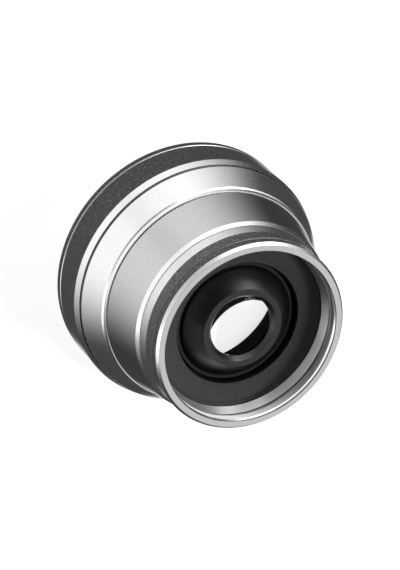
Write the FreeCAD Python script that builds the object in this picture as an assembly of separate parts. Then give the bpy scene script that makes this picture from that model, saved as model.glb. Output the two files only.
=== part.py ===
import FreeCAD, Part
import math
import os

# Screw-on teleconverter lens, in millimetres. The optical axis is Z. The front rim lies on z = 0 and
# the rear end, which screws onto a camera's lens, points up. Every length below runs along the axis.

# Threads that the outside world meets
thread_pitch = 0.75
filter_thread_diameter = 67.0
mount_thread_diameter = 49.0
thread_depth_share = 0.5413

# Fits
fit = 0.1
seam = 0.1

# Front trim ring
trim_wall = 1.5
trim_height = 2.05
trim_seam = 0.2
trim_spigot_wall = 0.6
trim_edge_chamfer = 0.25
filter_mouth_chamfer = 0.5
filter_thread_length = 4.6
filter_thread_runout = 0.7

# Front barrel
barrel_edge_chamfer = 0.25
barrel_cylinder_length = 9.45
shoulder_length = 2.25
shoulder_drop = 0.75
groove_width = 0.25
groove_depth = 0.7

# Cone barrel
cone_step_down = 0.1
cone_length = 6.9
bead_length = 1.1
bead_drop = 0.7
cone_spigot_wall = 1.0

# Rear barrel
taper_length = 12.75
taper_chamfer_length = 1.15
taper_chamfer_drop = 0.7
taper_wall = 1.3
taper_spigot_length = 1.6
taper_spigot_wall = 0.8
rear_spigot_wall = 1.5
rear_seat_wall = 0.6
tube_clearance = 1.45

# Rear mount ring
flare_length = 3.0
flare_drop = 0.35
grip_length = 3.7
grip_step = 0.08
grip_rear_length = 2.6
rim_chamfer_length = 0.7
rim_chamfer_drop = 0.6
mount_mouth_chamfer = 0.5
mount_mouth_width = 0.45
mount_thread_length = 3.5
undercut_width = 0.6
undercut_depth = 0.25
seat_cone_length = 1.9
seat_cone_drop = 1.1
seat_cone_gain = 0.2
lip_thickness = 1.0
collar_step = 1.45
spigot_length = 3.0

# Rear shield ring
shield_flange_thickness = 1.5
shield_strip_width = 0.9
shield_strip_drop = 0.3
shield_drop_below_rim = 8.25
shield_hole_gap = 0.45
shield_boss_wall = 1.7
shield_boss_length = 7.0
shield_thickness = 1.4

# Rear bezel
bezel_below_rim = 5.35
bezel_height = 4.65
bezel_foot_wall = 3.45
bezel_top_margin = 0.1
bezel_bulge_height = 0.28
bezel_ring_width = 1.6
bezel_lip_chamfer = 1.3
bezel_lip_drop = 1.0
bezel_lip_land = 0.4

# Rear cell
cell_land_width = 1.0
cell_land_height = 1.0
cell_neck_height = 2.3
cell_neck_wall = 1.3
cell_skirt_wall = 1.5
cell_skirt_length = 3.8
rear_lip_width = 0.5
rear_lip_thickness = 0.8

# Rear glass
rear_lens_radius = 11.0
rear_lens_thickness = 3.5
rear_lens_land = 1.9
rear_lens_rear_curve_radius = 85.0
rear_lens_front_curve_radius = 85.0
rear_seat_thickness = 0.5

# Front bezel and retaining ring
front_bezel_thickness = 1.1
front_bezel_edge = 0.4
front_bezel_cover = 1.3
retaining_ring_width = 0.9
retaining_ring_height = 2.3
retaining_ring_gap = 0.3
spanner_slot_width = 1.6
spanner_slot_depth = 0.9

# Front cell
bezel_shelf_width = 1.95
cell_neck_length = 2.1
cell_flange_thickness = 2.0
cell_body_length = 5.0
cell_flange_width = 1.0
cell_wall_front = 1.7
cell_tail_wall = 1.2
cell_rear_lip = 0.8
cell_rear_lip_width = 1.1

# Front glass
front_lens_edge = 3.0
front_lens_land = 1.0
front_lens_seat = 2.0
front_lens_front_curve_radius = 120.0
front_lens_rear_curve_radius = 300.0

# Spacer and doublet
spacer_flange = 1.0
spacer_height = 2.9
spacer_rim = 0.9
doublet_step = 5.85
doublet_edge = 5.95
doublet_land = 0.8
doublet_crown_edge = 0.85
doublet_front_curve_radius = 125.0
doublet_cement_curve_radius = 105.0
doublet_rear_curve_radius = 350.0

# Shim, light stop and inner barrel
shim_thickness = 0.3
light_stop_thickness = 0.5
light_stop_width = 2.6
inner_flange_thickness = 1.5
inner_wall = 1.1
inner_taper_wall = 0.55
light_stop_overlap = 1.3
collar_length = 4.0
collar_wall = 1.2
ridge_count = 6
ridge_depth = 0.5

# Screws
cell_screw_count = 3
cell_screw_radius = 0.8
cell_screw_head_radius = 1.3
cell_screw_head_height = 0.8
cell_screw_grip = 1.7
screw_hole_gap = 0.15
screw_thread_gap = 0.05
lock_screw_count = 3
lock_screw_radius = 0.8
lock_screw_socket = 0.45
lock_screw_socket_depth = 0.7

# Threads, as plain walls at their crests
thread_depth = thread_depth_share * thread_pitch
filter_bore = filter_thread_diameter / 2 - thread_depth
mount_bore = mount_thread_diameter / 2 - thread_depth

# Radii of the front group, from the filter thread inwards
front_radius = filter_thread_diameter / 2 + trim_wall
trim_spigot_radius = filter_thread_diameter / 2 + trim_spigot_wall
cell_neck_radius = trim_spigot_radius - bezel_shelf_width
cell_flange_radius = cell_neck_radius + cell_flange_width
cone_spigot_bore = cell_flange_radius - cone_spigot_wall
body_radius = cone_spigot_bore - fit
front_bore = cell_neck_radius - cell_wall_front
front_lens_radius = front_bore - fit
spacer_flange_bore = front_bore - front_lens_seat
doublet_radius = front_lens_radius - doublet_step
doublet_bore = doublet_radius + fit
tail_radius = doublet_bore + cell_tail_wall

# Radii of the inner barrel's front end, from the front cell outwards
inner_bore = tail_radius + fit
inner_tube_radius = inner_bore + inner_wall
screw_circle = inner_tube_radius + cell_screw_head_radius + fit
inner_flange_radius = screw_circle + cell_screw_head_radius + fit
light_stop_radius = inner_bore - fit

# Radii of the rear end, from the mount thread outwards
undercut_radius = mount_thread_diameter / 2 + undercut_depth
seat_cone_rear_radius = mount_bore + seat_cone_gain
seat_cone_front_radius = seat_cone_rear_radius - seat_cone_drop
collar_radius = seat_cone_front_radius + collar_step
collar_bore = collar_radius - collar_wall
spigot_radius = collar_radius + fit + rear_spigot_wall
rear_seat_bore = spigot_radius + fit

# Radii of the rear glass and what holds it, from the glass outwards
rear_cell_bore = rear_lens_radius + fit
neck_radius = rear_cell_bore + cell_neck_wall
bezel_top_radius = rear_lens_radius + bezel_top_margin
bezel_ring_inner = bezel_top_radius - bezel_ring_width
bezel_lip_radius = bezel_ring_inner - bezel_lip_drop
bezel_foot_radius = neck_radius + bezel_foot_wall
cell_land_radius = bezel_foot_radius + cell_land_width
shield_hole_radius = cell_land_radius + shield_hole_gap
cell_thread_radius = shield_hole_radius - fit

# Radii of the outer rings
shoulder_rear_radius = front_radius - shoulder_drop
cone_front_radius = shoulder_rear_radius - cone_step_down
taper_tube_bore = inner_tube_radius + tube_clearance
taper_spigot_radius = taper_tube_bore + taper_spigot_wall
cone_rear_radius = taper_spigot_radius + fit + taper_spigot_wall
bead_front_radius = cone_rear_radius + bead_drop
taper_rear_radius = rear_seat_bore + rear_seat_wall
taper_chamfer_radius = taper_rear_radius + taper_chamfer_drop
grip_radius = taper_rear_radius - flare_drop
grip_rear_radius = grip_radius - grip_step
rim_face_radius = grip_rear_radius - rim_chamfer_drop

# Heights of the outer rings, from the front rim up
barrel_front = trim_height + trim_seam
shoulder_front = barrel_front + barrel_cylinder_length
barrel_rear = shoulder_front + shoulder_length
cone_front = barrel_rear + groove_width
bead_front = cone_front + cone_length
cone_rear = bead_front + bead_length
taper_front = cone_rear + seam
taper_chamfer_front = taper_front + taper_length
taper_rear = taper_chamfer_front + taper_chamfer_length
mount_front = taper_rear + seam
flare_rear = mount_front + flare_length
grip_rear = flare_rear + grip_length
rim_chamfer_front = grip_rear + grip_rear_length
length = rim_chamfer_front + rim_chamfer_length

# Heights of the front group, from the filter thread inwards
filter_thread_end = filter_mouth_chamfer + filter_thread_length
trim_rear = filter_thread_end + filter_thread_runout
bezel_seat = trim_rear + front_bezel_thickness
flange_front = bezel_seat + cell_neck_length
flange_rear = flange_front + cell_flange_thickness
front_cell_step = flange_rear + cell_body_length
front_land = bezel_seat + retaining_ring_gap + retaining_ring_height
front_lens_seat_height = front_land + front_lens_edge
spacer_step = front_lens_seat_height + spacer_flange
doublet_front_land = front_lens_seat_height + spacer_height
doublet_cement_land = doublet_front_land + doublet_crown_edge
doublet_rear_land = doublet_front_land + doublet_edge
front_cell_rear = doublet_rear_land + cell_rear_lip
shim_rear = front_cell_step + shim_thickness
inner_flange_rear = shim_rear + inner_flange_thickness
light_stop_rear = front_cell_rear + light_stop_thickness

# Heights of the rear end, from the rim inwards
thread_rear = length - mount_mouth_chamfer
thread_front = thread_rear - mount_thread_length
undercut_front = thread_front - undercut_width
lip_rear = undercut_front - seat_cone_length
lip_front = lip_rear - lip_thickness
collar_rear = lip_front - shield_flange_thickness
collar_front = collar_rear - collar_length
spigot_front = mount_front - spigot_length
lock_screw_height = (spigot_front + mount_front) / 2
bezel_top = length - bezel_below_rim
cell_land = bezel_top - bezel_height
lens_rear_land = bezel_top - bezel_lip_chamfer - bezel_lip_land
lens_front_land = lens_rear_land - rear_lens_thickness
cell_lip_rear = lens_front_land - rear_seat_thickness
cell_lip_front = cell_lip_rear - rear_lip_thickness


def on_line(height, low, high):
    """Radius at a height on the straight line between two (radius, height) points."""
    share = (height - low[1]) / (high[1] - low[1])
    return low[0] + share * (high[0] - low[0])


def point(radius, height):
    return FreeCAD.Vector(radius, 0, height)


def turned(outline):
    """Solid of revolution about Z. A corner is (radius, height); an arc adds its middle point first."""
    edges = []
    start = point(*outline[0])
    for item in outline[1:] + [outline[0]]:
        if len(item) == 4:
            middle = point(item[0], item[1])
            end = point(item[2], item[3])
            edges.append(Part.Arc(start, middle, end).toShape())
        else:
            end = point(*item)
            if end.distanceToPoint(start) > 1e-6:
                edges.append(Part.makeLine(start, end))
        start = end
    face = Part.Face(Part.Wire(edges))
    axis_point = FreeCAD.Vector(0, 0, 0)
    axis = FreeCAD.Vector(0, 0, 1)
    return face.revolve(axis_point, axis, 360)


def sagitta(curve, radius):
    """Depth of a spherical surface of the given curvature radius at a distance from its axis."""
    return curve - math.sqrt(curve * curve - radius * radius)


def around(shape, count):
    """Copies of a shape turned evenly about Z."""
    copies = []
    for index in range(count):
        copy = shape.copy()
        copy.rotate(FreeCAD.Vector(0, 0, 0), FreeCAD.Vector(0, 0, 1), 360.0 * index / count)
        copies.append(copy)
    return copies


def front_trim_ring():
    """Front band with the filter thread, and the spigot that screws into the front barrel."""
    return turned([
        (filter_bore, filter_mouth_chamfer),
        (filter_bore + filter_mouth_chamfer, 0),
        (front_radius - trim_edge_chamfer, 0),
        (front_radius, trim_edge_chamfer),
        (front_radius, trim_height),
        (trim_spigot_radius, trim_height),
        (trim_spigot_radius, trim_rear),
        (filter_thread_diameter / 2, trim_rear),
        (filter_thread_diameter / 2, filter_thread_end),
        (filter_bore, filter_thread_end),
    ])


def front_barrel():
    """Dark front cylinder and the shoulder behind it, with stepped bores for ring, bezel and cell."""
    spigot_bore = trim_spigot_radius + fit
    neck_bore = cell_neck_radius + fit
    flange_bore = cell_flange_radius + fit
    return turned([
        (spigot_bore, barrel_front),
        (front_radius - barrel_edge_chamfer, barrel_front),
        (front_radius, barrel_front + barrel_edge_chamfer),
        (front_radius, shoulder_front),
        (shoulder_rear_radius, barrel_rear),
        (flange_bore, barrel_rear),
        (flange_bore, flange_front),
        (neck_bore, flange_front),
        (neck_bore, bezel_seat),
        (spigot_bore, bezel_seat),
    ])


def cone_barrel():
    """Steep cone with its bead, whose spigot screws into the front barrel and clamps the front cell."""
    step_height = cone_rear - taper_spigot_length + seam
    bore = taper_spigot_radius + fit
    return turned([
        (cone_spigot_bore, flange_rear),
        (cell_flange_radius, flange_rear),
        (cell_flange_radius, barrel_rear),
        (cone_front_radius - groove_depth, barrel_rear),
        (cone_front_radius - groove_depth, cone_front),
        (cone_front_radius, cone_front),
        (bead_front_radius, bead_front),
        (cone_rear_radius, cone_rear),
        (bore, cone_rear),
        (bore, step_height),
        (bore - taper_spigot_wall, step_height),
        (cone_spigot_bore, front_cell_step + fit),
    ])


def rear_barrel():
    """Long gentle cone, seated in the cone barrel and clamped by the rear mount ring."""
    spigot_end = taper_front - taper_spigot_length
    seat_front = spigot_front - seam
    low = (cone_rear_radius, taper_front)
    high = (taper_chamfer_radius, taper_chamfer_front)
    bore_front = on_line(seat_front, low, high)
    return turned([
        (taper_tube_bore, spigot_end),
        (taper_spigot_radius, spigot_end),
        (taper_spigot_radius, taper_front),
        low,
        high,
        (taper_rear_radius, taper_rear),
        (rear_seat_bore, taper_rear),
        (rear_seat_bore, seat_front),
        (bore_front - taper_wall, seat_front - taper_wall),
        (taper_tube_bore, taper_front + taper_wall),
    ])


def rear_mount_ring():
    """Rear ring with the female mount thread, its undercut, the tapered lead-in and the lip."""
    thread_radius = mount_thread_diameter / 2
    ring = turned([
        (collar_radius + fit, spigot_front),
        (spigot_radius, spigot_front),
        (spigot_radius, mount_front),
        (taper_rear_radius, mount_front),
        (grip_radius, flare_rear),
        (grip_radius, grip_rear),
        (grip_rear_radius, grip_rear),
        (grip_rear_radius, rim_chamfer_front),
        (rim_face_radius, length),
        (thread_radius + mount_mouth_width, length),
        (thread_radius, thread_rear),
        (mount_bore, thread_rear),
        (mount_bore, thread_front),
        (undercut_radius, thread_front),
        (undercut_radius, undercut_front),
        (seat_cone_rear_radius, undercut_front),
        (seat_cone_front_radius, lip_rear),
        (seat_cone_front_radius, lip_front),
        (collar_radius + fit, lip_front),
    ])
    for hole in around(lock_screw_hole(), lock_screw_count):
        ring = ring.cut(hole)
    return ring


def rear_shield_ring():
    """Matte black dished floor with the threaded boss that carries the rear cell."""
    strip_radius = seat_cone_front_radius - fit
    strip_top = lip_rear - fit
    floor_radius = strip_radius - shield_strip_width
    hole_top = length - shield_drop_below_rim
    boss_radius = shield_hole_radius + shield_boss_wall
    boss_front = hole_top - shield_boss_length
    return turned([
        (shield_hole_radius, boss_front),
        (boss_radius, boss_front),
        (boss_radius, hole_top - shield_thickness),
        (collar_bore, collar_rear),
        (collar_radius, collar_rear),
        (collar_radius, lip_front),
        (strip_radius, lip_front),
        (strip_radius, strip_top),
        (floor_radius, strip_top),
        (floor_radius, strip_top - shield_strip_drop),
        (shield_hole_radius, hole_top),
    ])


def rear_bezel():
    """Glossy convex cone that holds the rear glass down; its flat ring surrounds the opening."""
    middle_radius = (bezel_foot_radius + bezel_top_radius) / 2 + bezel_bulge_height
    middle_height = (cell_land + bezel_top) / 2 + bezel_bulge_height
    neck_bore = neck_radius + fit
    neck_top = cell_land + cell_neck_height + fit
    lens_bore = rear_lens_radius + fit
    return turned([
        (neck_bore, cell_land),
        (bezel_foot_radius, cell_land),
        (middle_radius, middle_height, bezel_top_radius, bezel_top),
        (bezel_ring_inner, bezel_top),
        (bezel_lip_radius, bezel_top - bezel_lip_chamfer),
        (bezel_lip_radius, lens_rear_land),
        (lens_bore, lens_rear_land),
        (lens_bore, neck_top),
        (neck_bore, neck_top),
    ])


def rear_cell():
    """Holder of the rear glass: neck, plate and the skirt that screws into the shield ring."""
    thread_top = cell_land - cell_land_height
    skirt_front = cell_lip_front - cell_skirt_length
    lip_bore = rear_lens_radius - rear_lip_width
    return turned([
        (lip_bore, cell_lip_front),
        (cell_thread_radius - cell_skirt_wall, cell_lip_front),
        (cell_thread_radius - cell_skirt_wall, skirt_front),
        (cell_thread_radius, skirt_front),
        (cell_thread_radius, thread_top),
        (cell_land_radius, thread_top),
        (cell_land_radius, cell_land),
        (neck_radius, cell_land),
        (neck_radius, cell_land + cell_neck_height),
        (rear_cell_bore, cell_land + cell_neck_height),
        (rear_cell_bore, cell_lip_rear),
        (lip_bore, cell_lip_rear),
    ])


def rear_lens_seat():
    """Thin ring between the rear glass and the lip of its cell."""
    return turned([
        (rear_lens_radius - rear_lip_width, cell_lip_rear),
        (rear_lens_radius, cell_lip_rear),
        (rear_lens_radius, lens_front_land),
        (rear_lens_radius - rear_lip_width, lens_front_land),
    ])


def sphere_arc(curve, clear_radius, land_height, side):
    """Middle point and pole of a polished surface that rises from its land (side 1) or sinks (-1)."""
    pole = land_height + side * sagitta(curve, clear_radius)
    half = clear_radius / 2
    middle_height = pole - side * sagitta(curve, half)
    return (half, middle_height), (0.0, pole)


def glass(radius, front, rear):
    """Round lens element. Each side is (curvature radius, clear radius, land height, side)."""
    front_middle, front_pole = sphere_arc(*front)
    rear_middle, rear_pole = sphere_arc(*rear)
    outline = [front_pole, front_middle + (front[1], front[2])]
    if front[1] < radius:
        outline.append((radius, front[2]))
    outline.append((radius, rear[2]))
    if rear[1] < radius:
        outline.append((rear[1], rear[2]))
    outline.append(rear_middle + rear_pole)
    return turned(outline)


def rear_lens():
    """Biconcave rear element."""
    rear_clear = rear_lens_radius - rear_lens_land
    front_clear = rear_lens_radius - rear_lip_width
    return glass(
        rear_lens_radius,
        (rear_lens_front_curve_radius, front_clear, lens_front_land, 1),
        (rear_lens_rear_curve_radius, rear_clear, lens_rear_land, -1),
    )


def front_lens():
    """Large front element, convex outside and slightly hollow inside."""
    return glass(
        front_lens_radius,
        (front_lens_front_curve_radius, front_lens_radius - front_lens_land, front_land, -1),
        (front_lens_rear_curve_radius, spacer_flange_bore - spacer_rim, front_lens_seat_height, -1),
    )


def doublet_front_lens():
    """Front half of the cemented pair, convex on both sides."""
    return glass(
        doublet_radius,
        (doublet_front_curve_radius, doublet_radius - doublet_land, doublet_front_land, -1),
        (doublet_cement_curve_radius, doublet_radius, doublet_cement_land, 1),
    )


def doublet_rear_lens():
    """Rear half of the cemented pair, hollow on its cemented side."""
    return glass(
        doublet_radius,
        (doublet_cement_curve_radius, doublet_radius, doublet_cement_land, 1),
        (doublet_rear_curve_radius, doublet_radius - cell_rear_lip_width, doublet_rear_land, 1),
    )


def front_bezel():
    """Bare black ring round the front glass, clamped by the trim ring."""
    inner = front_lens_radius - front_bezel_cover
    return turned([
        (inner, bezel_seat - front_bezel_edge),
        (filter_bore, trim_rear),
        (trim_spigot_radius, trim_rear),
        (trim_spigot_radius, bezel_seat),
        (inner, bezel_seat),
    ])


def front_retaining_ring():
    """Threaded ring with two spanner slots that holds the front glass."""
    inner = front_lens_radius - retaining_ring_width
    ring_front = front_land - retaining_ring_height
    ring = turned([
        (inner, ring_front),
        (front_lens_radius, ring_front),
        (front_lens_radius, front_land),
        (inner, front_land),
    ])
    slot = Part.makeBox(
        4 * retaining_ring_width, spanner_slot_width, spanner_slot_depth,
        FreeCAD.Vector(inner - retaining_ring_width, -spanner_slot_width / 2, ring_front),
    )
    for cutter in around(slot, 2):
        ring = ring.cut(cutter)
    return ring


def front_spacer():
    """Stepped ring that keeps the front element off the doublet."""
    flange_radius = spacer_flange_bore - fit
    return turned([
        (flange_radius - spacer_rim, front_lens_seat_height),
        (flange_radius, front_lens_seat_height),
        (flange_radius, spacer_step - fit),
        (doublet_radius, spacer_step - fit),
        (doublet_radius, doublet_front_land),
        (doublet_radius - doublet_land, doublet_front_land),
        (doublet_radius - doublet_land, spacer_step - fit),
    ])


def front_cell():
    """Holder of the front element, the spacer and the doublet."""
    cell = turned([
        (front_bore, bezel_seat),
        (cell_neck_radius, bezel_seat),
        (cell_neck_radius, flange_front),
        (cell_flange_radius, flange_front),
        (cell_flange_radius, flange_rear),
        (body_radius, flange_rear),
        (body_radius, front_cell_step),
        (tail_radius, front_cell_step),
        (tail_radius, front_cell_rear),
        (doublet_radius - cell_rear_lip_width, front_cell_rear),
        (doublet_radius - cell_rear_lip_width, doublet_rear_land),
        (doublet_bore, doublet_rear_land),
        (doublet_bore, spacer_step),
        (spacer_flange_bore, spacer_step),
        (spacer_flange_bore, front_lens_seat_height),
        (front_bore, front_lens_seat_height),
    ])
    depth = cell_screw_grip + screw_hole_gap
    hole = Part.makeCylinder(
        cell_screw_radius + screw_thread_gap, depth,
        FreeCAD.Vector(screw_circle, 0, front_cell_step - depth),
    )
    for cutter in around(hole, cell_screw_count):
        cell = cell.cut(cutter)
    return cell


def screw_holes(solid, front, rear):
    """The solid with clearance holes for the cell screws between two heights."""
    hole = Part.makeCylinder(
        cell_screw_radius + screw_hole_gap, rear - front, FreeCAD.Vector(screw_circle, 0, front),
    )
    for cutter in around(hole, cell_screw_count):
        solid = solid.cut(cutter)
    return solid


def focus_shim():
    """Thin ring between the front cell and the inner barrel."""
    ring = turned([
        (inner_bore, front_cell_step),
        (inner_flange_radius, front_cell_step),
        (inner_flange_radius, shim_rear),
        (inner_bore, shim_rear),
    ])
    return screw_holes(ring, front_cell_step, shim_rear)


def light_stop():
    """Black washer that traps stray light behind the doublet."""
    return turned([
        (light_stop_radius - light_stop_width, front_cell_rear),
        (light_stop_radius, front_cell_rear),
        (light_stop_radius, light_stop_rear),
        (light_stop_radius - light_stop_width, light_stop_rear),
    ])


def ridged_bore(low, high):
    """Outline points of a conical bore from high to low with saw-tooth ridges that trap light."""
    points = []
    pitch = (high[1] - low[1]) / ridge_count
    for index in range(ridge_count):
        top = high[1] - index * pitch
        points.append((on_line(top, low, high), top))
        points.append((on_line(top - pitch, low, high) - ridge_depth, top - pitch))
    points.append(low)
    return points


def inner_barrel():
    """Structural tube from the front cell to the rear mount ring, ridged inside."""
    stop_bore = light_stop_radius - light_stop_overlap
    tube_end = light_stop_rear + inner_wall
    cone_bore_rear = collar_bore - ridge_depth
    cone_outer_rear = collar_bore + inner_taper_wall
    tube = turned([
        (inner_bore, shim_rear),
        (inner_flange_radius, shim_rear),
        (inner_flange_radius, inner_flange_rear),
        (inner_tube_radius, inner_flange_rear),
        (inner_tube_radius, tube_end),
        (cone_outer_rear, collar_front),
        (collar_radius, collar_front),
        (collar_radius, collar_rear),
        (collar_bore, collar_rear),
        (collar_bore, collar_front + inner_wall),
    ] + ridged_bore((stop_bore, tube_end), (cone_bore_rear, collar_front + inner_wall)) + [
        (stop_bore, light_stop_rear),
        (inner_bore, light_stop_rear),
    ])
    return screw_holes(tube, shim_rear, inner_flange_rear)


def cell_screws():
    """Low-head screws through the inner barrel's flange and the shim into the front cell."""
    shank_front = front_cell_step - cell_screw_grip
    shank = Part.makeCylinder(
        cell_screw_radius, inner_flange_rear - shank_front, FreeCAD.Vector(screw_circle, 0, shank_front),
    )
    head = Part.makeCylinder(
        cell_screw_head_radius, cell_screw_head_height, FreeCAD.Vector(screw_circle, 0, inner_flange_rear),
    )
    screw = shank.fuse(head).removeSplitter()
    return Part.makeCompound(around(screw, cell_screw_count))


def radial_cylinder(radius, inner, outer, height):
    """Cylinder along X from one distance from the axis to another."""
    return Part.makeCylinder(
        radius, outer - inner, FreeCAD.Vector(inner, 0, height), FreeCAD.Vector(1, 0, 0),
    )


def lock_screw_hole():
    """Radial hole for a grub screw through the mount ring's spigot."""
    clear = lock_screw_radius + screw_thread_gap
    return radial_cylinder(clear, collar_radius, rear_seat_bore, lock_screw_height)


def mount_lock_screws():
    """Grub screws with hexagon sockets that lock the mount ring on the inner barrel."""
    outer = spigot_radius - fit
    body = radial_cylinder(lock_screw_radius, collar_radius, outer, lock_screw_height)
    corners = []
    for index in range(7):
        angle = math.radians(60 * index)
        across = lock_screw_socket * math.cos(angle)
        up = lock_screw_height + lock_screw_socket * math.sin(angle)
        corners.append(FreeCAD.Vector(outer, across, up))
    socket = Part.Face(Part.makePolygon(corners)).extrude(FreeCAD.Vector(-lock_screw_socket_depth, 0, 0))
    return Part.makeCompound(around(body.cut(socket), lock_screw_count))


nodes = {
    "front_trim_ring": front_trim_ring,
    "front_barrel": front_barrel,
    "cone_barrel": cone_barrel,
    "rear_barrel": rear_barrel,
    "rear_mount_ring": rear_mount_ring,
    "rear_shield_ring": rear_shield_ring,
    "rear_bezel": rear_bezel,
    "rear_cell": rear_cell,
    "rear_lens": rear_lens,
    "rear_lens_seat": rear_lens_seat,
    "front_bezel": front_bezel,
    "front_retaining_ring": front_retaining_ring,
    "front_lens": front_lens,
    "front_spacer": front_spacer,
    "doublet_front_lens": doublet_front_lens,
    "doublet_rear_lens": doublet_rear_lens,
    "front_cell": front_cell,
    "focus_shim": focus_shim,
    "light_stop": light_stop,
    "inner_barrel": inner_barrel,
    "cell_screws": cell_screws,
    "mount_lock_screws": mount_lock_screws,
}

os.makedirs("parts", exist_ok=True)
for name, build in nodes.items():
    build().exportStep("parts/" + name + ".step")
print("length", round(length, 3), "front radius", front_radius, "nodes", len(nodes))
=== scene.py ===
import logging
import math
from dataclasses import dataclass, field
from enum import Enum
from typing import NamedTuple

import bmesh
import bpy
from bmesh.types import BMesh
from bpy.types import ID, Material, Mesh, Node, NodeSocket, NodeTree, Object
from mathutils import Matrix, Vector


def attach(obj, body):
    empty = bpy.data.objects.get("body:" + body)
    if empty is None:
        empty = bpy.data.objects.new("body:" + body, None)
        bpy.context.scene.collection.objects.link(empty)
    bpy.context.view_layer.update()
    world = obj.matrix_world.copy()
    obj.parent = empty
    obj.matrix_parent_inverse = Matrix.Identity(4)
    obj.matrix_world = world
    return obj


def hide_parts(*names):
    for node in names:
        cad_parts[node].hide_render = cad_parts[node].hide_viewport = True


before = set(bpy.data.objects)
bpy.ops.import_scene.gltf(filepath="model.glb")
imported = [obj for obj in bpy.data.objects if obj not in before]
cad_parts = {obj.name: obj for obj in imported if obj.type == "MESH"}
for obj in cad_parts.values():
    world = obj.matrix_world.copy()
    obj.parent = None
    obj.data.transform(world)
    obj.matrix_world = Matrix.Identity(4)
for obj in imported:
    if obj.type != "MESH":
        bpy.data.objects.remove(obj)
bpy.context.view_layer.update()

MM = 0.001
FAR = math.inf
BODY = "root"
ROUND_STEPS = 256
NOISE_BAND = (0.3, 0.7)
NOISE_PEAKS = (0.5, 0.72)
WHITE = (1.0, 1.0, 1.0, 1.0)
POLE = 1e-6
WELD = 1.5e-6
SLIVER = 1e-7
HARD_EDGE = 30
CREST_EDGE = 24
Pair = tuple[float, float]
Way = tuple[float, float, float]
log = logging.getLogger("teleconverter")


class Side(Enum):
    """Which way a thread or ridge stands off its wall."""

    INWARDS = -1.0
    OUTWARDS = 1.0


class Lead(Enum):
    """Whether a row of crests climbs as a right-hand screw or lies in plain rings."""

    SCREW = 1.0
    RINGS = 0.0


class Corner(NamedTuple):
    """One corner of a turned outline, in millimetres.

    r and z are its place, ease is the radius that breaks the edge, and smooth marks a point on a curve.
    """

    r: float
    z: float
    ease: float = 0.05
    smooth: bool = False


def bow(start: Pair, middle: Pair, end: Pair, count: int) -> list[Corner]:
    """Corners along a circular arc through three points, its two ends included.

    Args:
        start: radius and height of the first corner.
        middle: radius and height of a point on the arc.
        end: radius and height of the last corner.
        count: number of steps.

    Returns:
        The corners, with the inner ones marked smooth.
    """
    (ax, ay), (bx, by), (cx, cy) = start, middle, end
    d = 2.0 * (ax * (by - cy) + bx * (cy - ay) + cx * (ay - by))
    a2, b2, c2 = ax * ax + ay * ay, bx * bx + by * by, cx * cx + cy * cy
    ux = (a2 * (by - cy) + b2 * (cy - ay) + c2 * (ay - by)) / d
    uy = (a2 * (cx - bx) + b2 * (ax - cx) + c2 * (bx - ax)) / d
    radius = math.hypot(ax - ux, ay - uy)
    first = math.atan2(ay - uy, ax - ux)
    half = math.remainder(math.atan2(by - uy, bx - ux) - first, math.tau)
    sweep = math.remainder(math.atan2(cy - uy, cx - ux) - first, math.tau)
    if half * sweep < 0:
        sweep += math.copysign(math.tau, half)
    angles = [first + sweep * step / count for step in range(1, count)]
    inner = [Corner(ux + radius * math.cos(angle), uy + radius * math.sin(angle), 0.0, True)
             for angle in angles]
    return [Corner(ax, ay, 0.0), *inner, Corner(cx, cy, 0.0)]


def dome(clear: float, land: float, curve: float, side: int, count: int = 36) -> list[Corner]:
    """A polished spherical face from its edge to its pole on the axis.

    Args:
        clear: radius of the face's edge.
        land: height of the edge.
        curve: radius of the sphere.
        side: 1 where the pole lies above the edge, -1 where it lies below.
        count: number of rings.

    Returns:
        Corners from the edge inwards, the last one on the axis.
    """
    rise = curve - math.sqrt(curve * curve - clear * clear)
    corners = []
    for step in range(count + 1):
        r = clear * (1.0 - step / count)
        z = land + side * (rise - (curve - math.sqrt(curve * curve - r * r)))
        corners.append(Corner(r, z, 0.0, step > 0))
    return corners


def eased(corners: list[Corner], closed: bool, steps: int = 3) -> list[tuple[float, float, bool]]:
    """Breaks the corners of an outline with small arcs.

    Args:
        corners: the outline.
        closed: whether the last corner joins the first.
        steps: steps of each arc.

    Returns:
        Radius, height and a smooth mark for each point.
    """
    flattest, sharpest, longest = math.radians(176), math.radians(4), 0.4
    points: list[tuple[float, float, bool]] = []
    total = len(corners)
    for index, corner in enumerate(corners):
        here, before, after = (Vector(near[:2]) for near in
                               (corner, corners[index - 1], corners[(index + 1) % total]))
        back, ahead = before - here, after - here
        opening = back.angle(ahead, math.pi)
        end = not closed and index in (0, total - 1)
        if corner.ease <= 0 or end or not sharpest <= opening <= flattest:
            points.append((corner.r, corner.z, corner.smooth))
            continue
        reach = min(corner.ease / math.tan(opening / 2), longest * back.length, longest * ahead.length)
        a, b = here + back.normalized() * reach, here + ahead.normalized() * reach
        for step in range(steps + 1):
            t = step / steps
            p = a * (1 - t) ** 2 + here * (2 * t * (1 - t)) + b * t ** 2
            points.append((p.x, p.y, 0 < step < steps))
    return points


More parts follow.
